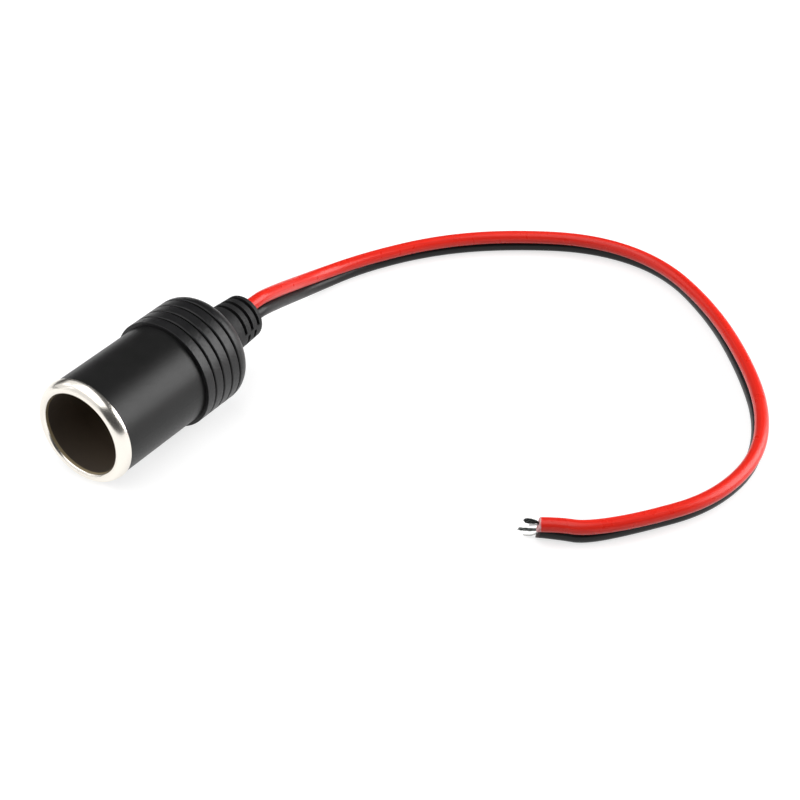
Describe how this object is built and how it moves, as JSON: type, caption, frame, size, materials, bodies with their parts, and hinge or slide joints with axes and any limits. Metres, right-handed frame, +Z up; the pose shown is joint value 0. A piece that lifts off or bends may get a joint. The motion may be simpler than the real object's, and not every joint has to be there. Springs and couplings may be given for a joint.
{
  "type": "car 12v power socket",
  "caption": "In-line car power socket: plated contact barrel in a black sleeve with a ringed strain-relief boot and a short red and black twin lead with bare ends.",
  "frame": {"origin": "on the plug bore's axis, where the straight bore wall begins just inside the rolled lip", "axes": "-Y out of the bore's mouth, +Y towards the lead, +Z up from the surface the socket lies on"},
  "size_m": [0.1423, 0.1597, 0.028],
  "materials": {
    "nickel_plate": "bright nickel plate",
    "sleeve_plastic": "satin",
    "boot_pvc": "matt, finely grained",
    "phenolic": "moulded, dull",
    "contact_brass": "stamped",
    "washer_steel": "plain",
    "red_pvc": "glossy",
    "black_pvc": "semi-gloss",
    "tinned_copper": "tinned strands"
  },
  "bodies": {
    "root": {"contact_barrel": "nickel_plate", "body_sleeve": "sleeve_plastic", "rear_boot": "boot_pvc", "base_insulator": "phenolic", "rear_insulating_washer": "phenolic", "centre_contact": "contact_brass", "tail_washer": "washer_steel", "positive_terminal": "contact_brass", "negative_terminal": "contact_brass", "negative_rivet": "washer_steel", "red_wire": "red_pvc", "red_conductor": "tinned_copper", "black_wire": "black_pvc", "black_conductor": "tinned_copper"}
  },
  "joints": []
}
